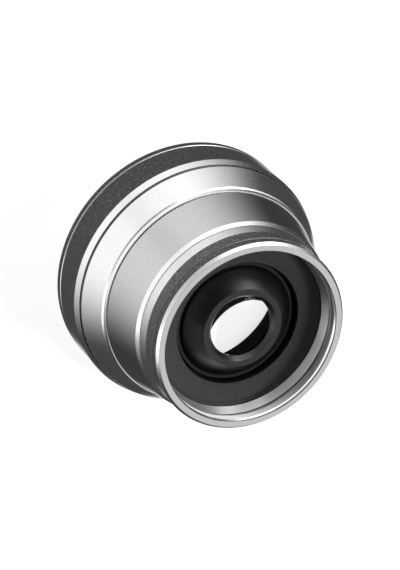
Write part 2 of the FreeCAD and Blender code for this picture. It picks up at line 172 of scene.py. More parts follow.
def turn(outline: list[tuple], closed: bool = True, segments: int = ROUND_STEPS) -> BMesh:
    """Turns an outline about Z.

    Args:
        outline: its corners, or their radius, height and ease, in millimetres.
        closed: whether the outline is a ring; an open one ends on the axis or on another wall.
        segments: steps round the axis.

    Returns:
        A new mesh in metres, with hard edges where the outline has corners.
    """
    points = eased([Corner(*corner) for corner in outline], closed)
    mesh = bmesh.new()
    rings = []
    for r, z, _ in points:
        angles = [math.tau * step / segments for step in range(segments if r > POLE else 1)]
        rings.append([mesh.verts.new((r * math.cos(angle) * MM, r * math.sin(angle) * MM, z * MM))
                      for angle in angles])
    for low, high in zip(rings, rings[1:] + rings[:1] if closed else rings[1:]):
        for step in range(segments):
            quad = [ring[turned % segments % len(ring)] for ring, turned in
                    ((low, step), (high, step), (high, step + 1), (low, step + 1))]
            mesh.faces.new(dict.fromkeys(quad))
    for face in mesh.faces:
        face.smooth = True
    for (_, _, smooth), ring in zip(points, rings):
        for one, two in zip(ring, ring[1:] + ring[:1]):
            edge = None if smooth or one == two else mesh.edges.get((one, two))
            if edge:
                edge.smooth = False
    return mesh


def plain(mesh: BMesh, name: str) -> Mesh:
    """Writes a mesh in the making to a plain one.

    Args:
        mesh: the mesh in the making, which is freed.
        name: the plain one's name.

    Returns:
        The plain mesh.
    """
    data = bpy.data.meshes.new(name)
    mesh.to_mesh(data)
    mesh.free()
    return data


def opened(data: Mesh) -> BMesh:
    """Reads a plain mesh back into one in the making.

    Args:
        data: the plain mesh, which is removed.

    Returns:
        The mesh in the making.
    """
    mesh = bmesh.new()
    mesh.from_mesh(data)
    bpy.data.meshes.remove(data)
    return mesh


def placed(name: str, data: ID) -> Object:
    """Puts a new object into the scene.

    Args:
        name: its name.
        data: its mesh, light or camera.

    Returns:
        The object.
    """
    obj = bpy.data.objects.new(name, data)
    bpy.context.scene.collection.objects.link(obj)
    return obj


def dropped(obj: Object) -> None:
    """Removes an object and its mesh.

    Args:
        obj: the object.
    """
    data = obj.data
    bpy.data.objects.remove(obj)
    bpy.data.meshes.remove(data)


def settled(obj: Object) -> Mesh:
    """Makes an object's modifiers plain.

    Args:
        obj: the object, which is removed with its own mesh.

    Returns:
        The plain mesh that the modifiers make.
    """
    view = bpy.context.evaluated_depsgraph_get()
    mesh = bpy.data.meshes.new_from_object(obj.evaluated_get(view))
    obj.modifiers.clear()
    dropped(obj)
    return mesh


def sharpen(mesh: BMesh, least: float) -> None:
    """Marks the edges whose faces meet at a sharp angle as hard.

    Args:
        mesh: the mesh.
        least: the angle in degrees above which an edge is hard.
    """
    for edge in mesh.edges:
        if len(edge.link_faces) == 2 and edge.calc_face_angle(0.0) > math.radians(least):
            edge.smooth = False


def welded(*parts: BMesh) -> BMesh:
    """Joins meshes whose rims meet into one closed mesh with outward faces.

    Args:
        parts: the meshes, which are used up.

    Returns:
        The joined mesh, with its hard edges marked.
    """
    whole = bmesh.new()
    for part in parts:
        scratch = plain(part, "weld")
        whole.from_mesh(scratch)
        bpy.data.meshes.remove(scratch)
    bmesh.ops.remove_doubles(whole, verts=whole.verts, dist=WELD)
    bmesh.ops.dissolve_degenerate(whole, edges=whole.edges, dist=SLIVER)
    bmesh.ops.recalc_face_normals(whole, faces=whole.faces)
    sharpen(whole, HARD_EDGE)
    return whole


def cut_with(body: BMesh, cutter: Mesh) -> BMesh:
    """Takes one closed mesh away from another.

    Args:
        body: the mesh that is cut, which is used up.
        cutter: what is taken away, which is used up too.

    Returns:
        What is left of the body.
    """
    stock, tool = placed("stock", plain(body, "blank")), placed("tool", cutter)
    modifier = stock.modifiers.new("cut", "BOOLEAN")
    modifier.object, modifier.operation, modifier.solver = tool, "DIFFERENCE", "MANIFOLD"
    left = opened(settled(stock))
    dropped(tool)
    return left


def prism(radius: float, length: float, place: Matrix, sides: int = 32) -> BMesh:
    """A closed prism with regular ends, in millimetres.

    Args:
        radius: its radius, to the corners.
        length: its length along its own Z.
        place: where its middle lies and how it is turned, in metres.
        sides: how many sides it has.

    Returns:
        The prism.
    """
    mesh = bmesh.new()
    bmesh.ops.create_cone(mesh, cap_ends=True, segments=sides, radius1=radius * MM, radius2=radius * MM,
                          depth=length * MM, matrix=place)
    return mesh


def round_pin(radius: float, start: Way, end: Way) -> BMesh:
    """A closed round pin between two points, in millimetres.

    Args:
        radius: its radius.
        start: one end of its axis.
        end: the other end.

    Returns:
        The pin.
    """
    axis = Vector(end) - Vector(start)
    middle = Matrix.Translation((Vector(start) + Vector(end)) / 2 * MM)
    return prism(radius, axis.length, middle @ axis.to_track_quat("Z", "Y").to_matrix().to_4x4())


def blank_of_glass(front: list[Corner], rear: list[Corner], radius: float, ease: float,
                   segments: int = ROUND_STEPS) -> BMesh:
    """A round glass with a ground edge between two polished faces.

    Args:
        front: the lower face, from its edge inwards.
        rear: the upper face, from its edge inwards.
        radius: radius of the ground edge.
        ease: what breaks its corners.
        segments: steps round the axis.

    Returns:
        The closed mesh.
    """
    edge = [Corner(radius, face[0].z, ease) for face in (front, rear) if face[0].r < radius]
    return welded(turn(front[::-1] + edge + rear, closed=False, segments=segments))


class Wiring:
    """Adds nodes to a tree and links them."""

    def __init__(self, tree: NodeTree) -> None:
        """Takes the tree."""
        self.tree = tree

    def node(self, kind: str, feeds: dict[str | int, object] | None = None, **settings: object) -> Node:
        """Adds a node.

        Args:
            kind: its type.
            feeds: what goes into its inputs, by name or number: sockets to link, or plain values.
            settings: its properties.

        Returns:
            The node.
        """
        node = self.tree.nodes.new(kind)
        for key, setting in settings.items():
            setattr(node, key, setting)
        for key, source in (feeds or {}).items():
            self.feed(node.inputs[key], source)
        return node

    def feed(self, socket: NodeSocket, source: object) -> None:
        """Feeds one input.

        Args:
            socket: the input.
            source: a socket to link to it, or its plain value.
        """
        if isinstance(source, NodeSocket):
            self.tree.links.new(source, socket)
        else:
            socket.default_value = source

    def math(self, operation: str, *terms: object) -> NodeSocket:
        """Adds a Math node on sockets or numbers and returns its result."""
        return self.node("ShaderNodeMath", dict(enumerate(terms)), operation=operation).outputs[0]

    def across(self, x: NodeSocket, y: NodeSocket) -> NodeSocket:
        """Distance from an axis, from the two places across it."""
        squares = self.math("ADD", self.math("MULTIPLY", x, x), self.math("MULTIPLY", y, y))
        return self.math("POWER", squares, 0.5)

    def ramp(self, x: object, low: object, high: object, start: object = 0.0, end: object = 1.0,
             **settings: object) -> NodeSocket:
        """Adds a clamped Map Range node from low..high to start..end and returns its result."""
        feeds = {"Value": x, "From Min": low, "From Max": high, "To Min": start, "To Max": end}
        return self.node("ShaderNodeMapRange", feeds, **settings).outputs["Result"]


class Grower(Wiring):
    """One Geometry Nodes tree with named inputs, which grows plain meshes."""

    def __init__(self, name: str) -> None:
        """Starts an empty tree.

        Args:
            name: the tree's name.
        """
        super().__init__(bpy.data.node_groups.new(name, "GeometryNodeTree"))
        self.tree.interface.new_socket("Geometry", in_out="OUTPUT", socket_type="NodeSocketGeometry")
        self.source = self.node("NodeGroupInput")

    def entry(self, name: str, kind: str = "Float", default: float | None = None) -> NodeSocket:
        """Adds a named input.

        Args:
            name: its label.
            kind: Float, Int, Object or Material.
            default: a number's value in a fresh modifier.

        Returns:
            The socket that carries it inside the tree.
        """
        socket = self.tree.interface.new_socket(name, in_out="INPUT", socket_type="NodeSocket" + kind)
        if default is not None:
            socket.default_value = default
        return self.source.outputs[name]

    def close(self, geometry: NodeSocket, material: NodeSocket) -> None:
        """Ends the tree in Realize Instances and Set Material.

        Args:
            geometry: what the tree has made.
            material: the finish that it sets.
        """
        real = self.node("GeometryNodeRealizeInstances", {"Geometry": geometry})
        dressed = self.node("GeometryNodeSetMaterial", {"Geometry": real.outputs[0], "Material": material})
        self.node("NodeGroupOutput", {"Geometry": dressed.outputs[0]})

    def grow(self, settings: dict[str, object]) -> Mesh:
        """Runs the tree once on an empty mesh.

        Args:
            settings: a value for each named input.

        Returns:
            The plain mesh that it makes.
        """
        seed = placed("seed", bpy.data.meshes.new("seed"))
        modifier = seed.modifiers.new("grow", "NODES")
        modifier.node_group = self.tree
        for item in self.tree.interface.items_tree:
            if item.item_type == "SOCKET" and item.in_out == "INPUT" and item.name in settings:
                modifier[item.identifier] = settings[item.name]
        return settled(seed)


def crest_tree() -> Grower:
    """Tree for a wall of screw crests or plain ridges round Z.

    A grid runs round the axis and along it. Each row keeps one phase of the profile, so the crests stay
    sharp, and the rows climb by one pitch in a turn where Lead is 1. The crests fade out at both ends.

    Returns:
        The tree, ready to grow walls.
    """
    g = Grower("crests")
    radius, gain = g.entry("Radius", default=24.5), g.entry("Radius gain", default=0.0)
    depth, pitch = g.entry("Depth", default=0.4), g.entry("Pitch", default=0.75)
    front, rear = g.entry("Front", default=0.0), g.entry("Rear", default=5.0)
    fade, lead = g.entry("Fade", default=0.3), g.entry("Lead", default=1.0)
    crest, root = g.entry("Crest share", default=0.15), g.entry("Root share", default=0.2)
    segments, steps = g.entry("Segments", "Int", ROUND_STEPS), g.entry("Steps per pitch", "Int", 8)
    material = g.entry("Material", "Material")
    hair = 1e-4
    length = g.math("SUBTRACT", rear, front)
    turns = g.math("ADD", g.math("CEIL", g.math("DIVIDE", length, pitch)), 1.0)
    rows = g.math("ADD", g.math("MULTIPLY", turns, steps), 1.0)
    grid = g.node("GeometryNodeMeshGrid", {"Size X": 1.0, "Size Y": 1.0, "Vertices Y": rows,
                                           "Vertices X": g.math("ADD", segments, 1.0)})
    index = g.node("GeometryNodeInputIndex").outputs[0]
    column = g.math("FLOOR", g.math("DIVIDE", g.math("ADD", index, 0.5), rows))
    row = g.math("SUBTRACT", index, g.math("MULTIPLY", column, rows))
    around = g.math("DIVIDE", column, segments)
    phase = g.math("DIVIDE", row, steps)
    climb = g.math("MULTIPLY", g.math("SUBTRACT", around, 1.0), lead)
    free = g.math("ADD", front, g.math("MULTIPLY", g.math("ADD", phase, climb), pitch))
    height = g.math("MINIMUM", g.math("MAXIMUM", free, front), rear)
    share = g.math("FRACT", g.math("ADD", phase, hair))
    flank = g.math("ABSOLUTE", g.math("SUBTRACT", share, 0.5))
    half_root = g.math("SUBTRACT", 0.5, g.math("MULTIPLY", root, 0.5))
    profile = g.ramp(flank, g.math("MULTIPLY", crest, 0.5), half_root, 1.0, 0.0)
    above = g.math("SUBTRACT", height, front)
    ends = g.math("MULTIPLY", g.ramp(above, 0.0, fade), g.ramp(g.math("SUBTRACT", rear, height), 0.0, fade))
    standing = g.math("MULTIPLY", g.math("MULTIPLY", profile, depth), ends)
    base = g.math("ADD", radius, g.math("MULTIPLY", gain, g.math("DIVIDE", above, length)))
    r = g.math("MULTIPLY", g.math("ADD", base, standing), MM)
    angle = g.math("MULTIPLY", around, math.tau)
    place = g.node("ShaderNodeCombineXYZ", {"X": g.math("MULTIPLY", r, g.math("COSINE", angle)),
                                            "Y": g.math("MULTIPLY", r, g.math("SINE", angle)),
                                            "Z": g.math("MULTIPLY", height, MM)})
    move = g.node("GeometryNodeSetPosition", {"Geometry": grid.outputs["Mesh"], "Position": place.outputs[0]})
    merge = g.node("GeometryNodeMergeByDistance", {"Geometry": move.outputs[0], "Distance": POLE})
    g.close(merge.outputs[0], material)
    return g


def ring_of_tree() -> Grower:
    """Tree that sets copies of one object evenly round Z, such as screws or cutters.

    Returns:
        The tree, ready to set copies.
    """
    g = Grower("ring of copies")
    model, count = g.entry("Model", "Object"), g.entry("Count", "Int", 3)
    material = g.entry("Material", "Material")
    info = g.node("GeometryNodeObjectInfo", {"Object": model})
    copies = g.node("GeometryNodeMeshLine", {"Count": count, "Offset": (0.0, 0.0, 0.0)}, mode="OFFSET")
    index = g.node("GeometryNodeInputIndex").outputs[0]
    spin = g.node("ShaderNodeCombineXYZ", {"Z": g.math("MULTIPLY", index, g.math("DIVIDE", math.tau, count))})
    place = g.node("GeometryNodeInstanceOnPoints", {
        "Points": copies.outputs["Mesh"], "Instance": info.outputs["Geometry"], "Rotation": spin.outputs[0]})
    g.close(place.outputs["Instances"], material)
    return g


@dataclass
class Crests:
    """A row of crests on a round wall, in millimetres."""

    radius: float
    depth: float
    front: float
    rear: float
    pitch: float = 0.75
    side: Side = Side.INWARDS
    lead: Lead = Lead.SCREW
    fade: float = 0.25
    gain: float = 0.0
    crest: float = 0.14
    root: float = 0.26
    steps: int = 10

    def wall(self, grower: Grower, material: Material) -> BMesh:
        """Grows the wall.

        Args:
            grower: the crest tree.
            material: the finish that the tree sets.

        Returns:
            An open wall whose two rims are plain circles.
        """
        wall = opened(grower.grow({
            "Radius": self.radius, "Radius gain": self.gain, "Depth": self.depth * self.side.value,
            "Pitch": self.pitch, "Front": self.front, "Rear": self.rear, "Fade": self.fade,
            "Lead": self.lead.value, "Crest share": self.crest, "Root share": self.root,
            "Segments": ROUND_STEPS, "Steps per pitch": self.steps, "Material": material,
        }))
        for face in wall.faces:
            face.smooth = True
        sharpen(wall, CREST_EDGE)
        return wall


class Paint(Wiring):
    """Writes one material's nodes on the piece's own coordinates."""

    def __init__(self, name: str) -> None:
        """Starts a material with a plain surface shader.

        Args:
            name: the material's name.
        """
        self.material = bpy.data.materials.new(name)
        self.material.use_nodes = True
        super().__init__(self.material.node_tree)
        self.shader = next(n for n in self.tree.nodes if n.type == "BSDF_PRINCIPLED")
        self.place = self.node("ShaderNodeTexCoord").outputs["Object"]

    def set(self, **settings: object) -> None:
        """Feeds the surface shader's inputs; underscores stand for spaces."""
        for key, setting in settings.items():
            self.feed(self.shader.inputs[key.replace("_", " ")], setting)

    def noise(self, size: float, detail: float) -> NodeSocket:
        """Adds a solid noise with cells of a size in millimetres and a number of finer layers."""
        return self.node("ShaderNodeTexNoise", {"Vector": self.place, "Scale": 1.0 / (size * MM),
                                                "Detail": detail, "Roughness": 0.6}).outputs["Fac"]

    def rings(self, size: float, detail: float) -> NodeSocket:
        """Adds tool marks in rings about Z.

        Args:
            size: width of a mark, in millimetres.
            detail: number of finer layers.

        Returns:
            The marks' height, between 0 and 1.
        """
        slant = 1.13
        split = self.node("ShaderNodeSeparateXYZ", {0: self.place}).outputs
        line = self.math("ADD", self.across(split[0], split[1]), self.math("MULTIPLY", split[2], slant))
        return self.node("ShaderNodeTexNoise", {"W": line, "Scale": 1.0 / (size * MM), "Detail": detail,
                                                "Roughness": 0.65}, noise_dimensions="1D").outputs["Fac"]

    def spread(self, value: NodeSocket, low: float, high: float, band: Pair = NOISE_BAND) -> NodeSocket:
        """Maps a band of a noise's values to low..high."""
        return self.ramp(value, *band, low, high)

    def about(self, value: NodeSocket, middle: float, width: float) -> NodeSocket:
        """Maps a noise's middle band to a width on both sides of a middle value."""
        return self.spread(value, middle - width, middle + width)

    def tint(self, value: NodeSocket, dark: Way | float, light: Way | float) -> None:
        """Colours the surface between two greys or two colours.

        Args:
            value: the noise that mixes them.
            dark: the grey or colour at its low end.
            light: the one at its high end.
        """
        ends = [(*(shade if isinstance(shade, tuple) else (shade,) * 3), 1.0) for shade in (dark, light)]
        mix = self.node("ShaderNodeMix", {"Factor": self.spread(value, 0.0, 1.0), "A": ends[0], "B": ends[1]},
                        data_type="RGBA")
        self.set(Base_Color=mix.outputs["Result"])

    def relief(self, height: NodeSocket, depth: float) -> None:
        """Adds a bump.

        Args:
            height: its height, between 0 and 1.
            depth: its depth in millimetres.
        """
        node = self.node("ShaderNodeBump", {"Height": height, "Distance": depth * MM, "Strength": 1.0})
        if self.shader.inputs["Normal"].is_linked:
            self.feed(node.inputs["Normal"], self.shader.inputs["Normal"].links[0].from_socket)
        self.set(Normal=node.outputs["Normal"])


@dataclass(frozen=True)
class Finish:
    """A surface finish.

    tone is its grey, dark and light are the shares of it that its marks run between.
    """

    name: str
    tone: float = 0.0
    roughness: float = 0.0
    dark: float = 0.9
    light: float = 1.08

    def shades(self) -> Pair:
        """The darkest and the lightest grey."""
        return self.tone * self.dark, min(1.0, self.tone * self.light)

    def material(self) -> Material:
        """Makes the finish.

        Returns:
            Its new material.
        """
        p = Paint(self.name)
        self.lay(p)
        return p.material

    def lay(self, p: Paint) -> None:
        """Writes the finish's own nodes."""
        raise NotImplementedError


@dataclass(frozen=True)
class BlastedAluminium(Finish):
    """Aluminium blasted with fine beads and anodised clear: satin, with a fine grain."""

    name: str = "blasted_aluminium"
    tone: float = 0.9
    roughness: float = 0.15
    grain: float = 0.22
    depth: float = 0.004
    glint: float = 0.13
    pit: float = 1.7

    def lay(self, p: Paint) -> None:
        """Metal with a blasted grain in its tone and relief, and pits that shine less.

        Args:
            p: the material's paint.
        """
        grain, pits = (p.noise(size, detail=1.0) for size in (self.grain, self.grain * self.pit))
        p.tint(grain, *self.shades())
        sheen = p.spread(pits, self.roughness, self.roughness + self.glint, NOISE_PEAKS)
        p.set(Metallic=1.0, Roughness=sheen)
        p.relief(grain, self.depth)


@dataclass(frozen=True)
class TurnedAluminium(Finish):
    """Bare turned aluminium with fine concentric tool marks."""

    name: str = "turned_aluminium"
    tone: float = 0.82
    roughness: float = 0.22
    mark: float = 0.2
    depth: float = 0.0003
    unevenness: float = 0.05
    sweep: float = 0.0
    sweep_turn: float = 0.0

    def lay(self, p: Paint) -> None:
        """Metal with tool marks in its tone and relief, and a sheen that sweeps round the axis.

        Args:
            p: the material's paint.
        """
        marks, grain = p.rings(self.mark, detail=4.0), p.noise(size=0.35, detail=2.0)
        p.tint(marks, *self.shades())
        p.set(Metallic=1.0, Roughness=p.about(grain, self.roughness, self.unevenness))
        p.relief(marks, self.depth)
        if self.sweep > 0:
            tangent = p.node("ShaderNodeTangent", direction_type="RADIAL", axis="Z").outputs[0]
            p.set(Anisotropic=self.sweep, Anisotropic_Rotation=self.sweep_turn, Tangent=tangent)


@dataclass(frozen=True)
class BlackAnodised(Finish):
    """Matte black anodised aluminium with a fine blasted grain and turned rings."""

    name: str = "black_anodised"
    tone: float = 0.055
    roughness: float = 0.5
    dark: float = 0.6
    light: float = 1.45
    specular: float = 0.15
    depth: float = 0.03
    mark_share: float = 0.15

    def lay(self, p: Paint) -> None:
        """Black dye with a grain in its tone, its sheen and its relief.

        Args:
            p: the material's paint.
        """
        grain, marks = p.noise(size=0.3, detail=3.0), p.rings(size=0.3, detail=2.0)
        p.tint(grain, *self.shades())
        p.set(Specular_IOR_Level=self.specular, Roughness=p.about(grain, self.roughness, width=0.08))
        p.relief(marks, self.depth * self.mark_share)
        p.relief(grain, self.depth)


@dataclass(frozen=True)
class GlossBlack(Finish):
    """Smooth black lacquer on the bezel round the rear glass."""

    name: str = "gloss_black"
    tone: float = 0.006
    roughness: float = 0.3
    light: float = 1.1

    def lay(self, p: Paint) -> None:
        """Lacquer with a faint wide haze.

        Args:
            p: the material's paint.
        """
        haze = p.noise(size=6.0, detail=1.0)
        p.tint(haze, *self.shades())
        p.set(Specular_IOR_Level=0.8, Roughness=p.about(haze, self.roughness, width=0.01))


@dataclass(frozen=True)
class OpticalGlass(Finish):
    """Polished and coated glass, whose coating keeps its glare low."""

    index: float = 1.52
    glare: float = 0.12

    def lay(self, p: Paint) -> None:
        """Clear glass with a faint bluish coating.

        Args:
            p: the material's paint.
        """
        p.set(Transmission_Weight=1.0, IOR=self.index, Roughness=self.roughness,
              Specular_Tint=(self.glare, self.glare, self.glare * 1.1, 1.0))
        p.tint(p.noise(size=9.0, detail=1.0), dark=0.99, light=0.992)


@dataclass(frozen=True)
class BlackenedSteel(Finish):
    """Blackened steel of the small screws."""

    name: str = "blackened_steel"
    tone: float = 0.18
    roughness: float = 0.35
    dark: float = 0.8
    light: float = 1.3

    def lay(self, p: Paint) -> None:
        """Dark metal with a fine uneven haze.

        Args:
            p: the material's paint.
        """
        haze = p.noise(size=0.4, detail=3.0)
        p.tint(haze, *self.shades())
        p.set(Metallic=1.0, Roughness=p.about(haze, self.roughness, width=0.08))


@dataclass(frozen=True)
class ShimBrass(Finish):
    """Rolled brass foil of the focus shim."""

    name: str = "shim_brass"
    roughness: float = 0.3

    def lay(self, p: Paint) -> None:
        """Yellow metal between a tarnished and a bright brass."""
        p.tint(p.noise(size=0.8, detail=3.0), dark=(0.55, 0.4, 0.16), light=(0.72, 0.55, 0.27))
        p.set(Metallic=1.0, Roughness=self.roughness)


def made(finish: Finish) -> Material:
    """A workshop's field that makes the finish's material when the workshop opens."""
    return field(default_factory=finish.material)


@dataclass
class Workshop:
    """The finishes and node trees that all sub-assemblies share."""

    blasted: Material = made(BlastedAluminium())
    # Darker copy of the blasted finish: its low tone paints shade on the gentle taper.
    taper: Material = made(BlastedAluminium("blasted_taper", 0.6, 0.12))
    # Lighter, smoother copy of the blasted finish: its lower roughness is real, and its higher tone paints
    # extra light on the grip band.
    grip: Material = made(BlastedAluminium("blasted_grip", 0.95, 0.2, glint=0.08))
    turned: Material = made(TurnedAluminium())
    bored: Material = made(TurnedAluminium("bored_aluminium", roughness=0.34, unevenness=0.01, sweep=0.9))
    # Copy of the turned finish whose sweep is real and whose higher tone paints extra light on the lead-in
    # cone.
    flared: Material = made(TurnedAluminium("flared_aluminium", 0.9, 0.29, unevenness=0.008, sweep=0.9,
                                            sweep_turn=0.25))
    lead_in: Material = made(TurnedAluminium("lead_in_aluminium", 0.9, 0.14, unevenness=0.01))
    # Dark copy of turned aluminium: its low tone paints shade into the grooves, the undercut and the fine
    # line.
    shaded_undercut: Material = made(TurnedAluminium("undercut_aluminium", 0.22, 0.5))
    black: Material = made(BlackAnodised())
    # Near-black lining of the hidden inside; on the shield ring's hole and the rear cell it is painted shade
    # in the gap round the bezel's foot.
    liner_and_shade: Material = made(BlackAnodised("black_liner", 0.008, 0.8, specular=0.08, depth=0.02))
    # Black darker than the shield ring's, which paints shade on the rear cell's land.
    foot: Material = made(BlackAnodised("black_foot", 0.03))
    gloss: Material = made(GlossBlack())
    crown: Material = made(OpticalGlass("crown_glass", index=1.52))
    flint: Material = made(OpticalGlass("flint_glass", index=1.62))
    steel: Material = made(BlackenedSteel())
    brass: Material = made(ShimBrass())
    crests: Grower = field(default_factory=crest_tree)
    copies: Grower = field(default_factory=ring_of_tree)

    def ring(self, mesh: BMesh, count: int, finish: Material) -> Mesh:
        """Sets copies of a mesh evenly round Z.

        Args:
            mesh: the mesh, which is used up.
            count: how many copies.
            finish: their finish.

        Returns:
            The copies as one mesh.
        """
        model = placed("model", plain(mesh, "model"))
        copies = self.copies.grow({"Model": model, "Count": count, "Material": finish})
        dropped(model)
        return copies


class Zone(NamedTuple):
    """A ring of space, in millimetres: its range of radius and of height."""

    r: Pair = (0.0, FAR)
    z: Pair = (-FAR, FAR)

    def holds(self, place: Vector) -> bool:
        """Whether a place lies in the zone."""
        return self.r[0] < place.xy.length < self.r[1] and self.z[0] < place.z < self.z[1]


def piece(name: str, mesh: BMesh | Mesh, finish: Material, node: str,
          zones: dict[Zone, Material] | None = None) -> None:
    """Makes one finished piece that stands for a node of the frame.

    Args:
        name: the piece's name.
        mesh: its mesh in metres, in the frame's own place; a plain one has its finish already.
        finish: its finish.
        node: the node that it stands for.
        zones: where it has other finishes; the first zone that a face's middle lies in counts.
    """
    if isinstance(mesh, BMesh):
        finishes = [finish, *dict.fromkeys((zones or {}).values())]
        for face in mesh.faces:
            middle = face.calc_center_median() / MM
            inside = (other for zone, other in (zones or {}).items() if zone.holds(middle))
            face.material_index = finishes.index(next(inside, finish))
        mesh = plain(mesh, name)
        for each in finishes:
            mesh.materials.append(each)
    mesh.name = name
    obj = placed(name, mesh)
    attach(obj, BODY)
    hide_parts(node)
    log.info("%s: %d faces", name, len(mesh.polygons))


def dress(node: str, material: Material) -> None:
    """Gives a carried-over node of the frame its finish.

    Args:
        node: the node.
        material: the finish.
    """
    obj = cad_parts[node]
    obj.data.materials.clear()
    obj.data.materials.append(material)
    log.info("%s: dressed", node)


@dataclass
class OuterBarrels:
    """The four turned rings that make the outside, from the front rim to the mount ring, in millimetres."""

    shop: Workshop
    front_radius: float = 35.0
    filter_major: float = 33.5
    filter_depth: float = 0.406
    filter_mouth: float = 33.6
    filter_front: float = 0.5
    filter_rear: float = 5.1
    trim_top: float = 2.09
    trim_rear: float = 5.8
    spigot: float = 34.1
    spigot_bore: float = 34.2
    barrel_front: float = 2.25
    shoulder_front: float = 11.7
    shoulder_rear: float = 13.65
    shoulder_radius: float = 34.35
    barrel_rear: float = 13.95
    groove_floor: float = 33.45
    groove_bottom: float = 13.45
    bezel_seat: float = 6.9
    flange_front: float = 9.0
    neck_bore: float = 32.25
    flange_bore: float = 33.25
    cone_front: float = 14.3
    cone_radius: float = 34.1
    cone_spigot: float = 33.15
    cone_spigot_front: float = 11.0
    cone_bore: float = 32.15
    cone_bore_rear: float = 16.1
    collar_edge: Pair = (31.015, 20.76)
    collar_foot: Pair = (30.65, 21.18)
    collar_rear: Pair = (30.4, 22.09)
    collar_inner: float = 29.8
    cone_rear: float = 22.2
    joint_front: float = 20.7
    joint_bore: float = 29.35
    joint_throat: float = 28.55
    taper_spigot: float = 29.25
    taper_front: float = 22.33
    taper_radius: float = 30.12
    taper_bore: float = 28.45
    taper_bore_rear: float = 23.6
    chamfer_front: float = 35.05
    chamfer_radius: float = 27.644
    taper_rear: float = 36.17
    taper_rear_radius: float = 26.964
    mount_bore: float = 26.344
    mount_bore_front: float = 33.2
    throat: float = 26.9
    throat_rear: float = 31.9
    # The two halves of the groove take the dark finish that paints shade in them.
    shoulder_groove: Zone = Zone((0, 34.33), (13.65, FAR))
    cone_groove: Zone = Zone((33.35, FAR), (-FAR, 14.34))
    # The taper's outside takes the darker copy that paints shade on it.
    taper_outside: Zone = Zone((27.594, FAR), (22.3, 34.95))

    def build(self) -> None:
        """Builds and dresses the four rings."""
        self.trim_ring()
        self.front_barrel()
        self.cone_barrel()
        self.rear_barrel()

    def trim_ring(self) -> None:
        """Front ring with the real filter thread."""
        shell = turn([
            (self.filter_major, self.filter_front, 0), (self.filter_mouth, 0, 0.04),
            (self.front_radius, 0, 0.1), (self.front_radius, self.trim_top, 0.24),
            (self.spigot, self.trim_top, 0.03), (self.spigot, self.trim_rear, 0.08),
            (self.filter_major, self.trim_rear, 0.04), (self.filter_major, self.filter_rear, 0),
        ], closed=False)
        thread = Crests(self.filter_major, self.filter_depth, self.filter_front, self.filter_rear)
        piece("front_trim_ring_turned", welded(shell, thread.wall(self.shop.crests, self.shop.blasted)),
              self.shop.blasted, "front_trim_ring")

    def front_barrel(self) -> None:
        """Front cylinder with its shoulder, the front half of the groove, whose darkness is painted shade,
        and stepped bores.
        """
        shell = turn([
            (self.spigot_bore, self.barrel_front, 0.05), (self.front_radius, self.barrel_front, 0.12),
            (self.front_radius, self.shoulder_front, 0.1), (self.shoulder_radius, self.shoulder_rear, 0.01),
            (self.groove_floor, self.groove_bottom, 0.03), (self.groove_floor, self.barrel_rear, 0.03),
            (self.flange_bore, self.barrel_rear, 0.05), (self.flange_bore, self.flange_front, 0.03),
            (self.neck_bore, self.flange_front, 0.03), (self.neck_bore, self.bezel_seat, 0.03),
            (self.spigot_bore, self.bezel_seat, 0.03),
        ])
        # The groove behind the shoulder gets the dark finish that paints shade in it.
        piece("front_barrel_turned", shell, self.shop.blasted, "front_barrel",
              {self.shoulder_groove: self.shop.shaded_undercut})

    def cone_barrel(self) -> None:
        """Steep cone with the groove in front of it and the narrow collar that ends it.

        The collar is a steep step down, a gentle slope and a sharp end.
        """
        shell = turn([
            (self.cone_bore, self.cone_spigot_front, 0.08), (self.cone_spigot, self.cone_spigot_front, 0.08),
            (self.cone_spigot, self.barrel_rear, 0), (self.groove_floor, self.barrel_rear, 0),
            (self.groove_floor, self.cone_front, 0.03), (self.cone_radius, self.cone_front, 0.1),
            (*self.collar_edge, 0.1), (*self.collar_foot, 0.12), (*self.collar_rear, 0.06),
            (self.collar_inner, self.collar_rear[1], 0.02), (self.collar_inner, self.cone_rear, 0),
            (self.joint_bore, self.cone_rear, 0.05), (self.joint_bore, self.joint_front, 0.03),
            (self.joint_throat, self.joint_front, 0.05), (self.cone_bore, self.cone_bore_rear, 0.1),
        ])
        # The groove in front of the cone gets the dark finish that paints shade in it.
        piece("cone_barrel_turned", shell, self.shop.blasted, "cone_barrel",
              {self.cone_groove: self.shop.shaded_undercut})

    def rear_barrel(self) -> None:
        """Long gentle taper with the chamfer that ends it."""
        shell = turn([
            (self.taper_bore, self.joint_front, 0.05), (self.taper_spigot, self.joint_front, 0.08),
            (self.taper_spigot, self.taper_front, 0.03), (self.taper_radius, self.taper_front, 0.08),
            (self.chamfer_radius, self.chamfer_front, 0.1), (self.taper_rear_radius, self.taper_rear, 0.015),
            (self.mount_bore, self.taper_rear, 0.05), (self.mount_bore, self.mount_bore_front, 0.03),
            (self.throat, self.throat_rear, 0.1), (self.taper_bore, self.taper_bore_rear, 0.1),
        ])
        # The taper's outside gets the darker copy of the blasted finish, painted shade.
        piece("rear_barrel_turned", shell, self.shop.blasted, "rear_barrel",
              {self.taper_outside: self.shop.taper})


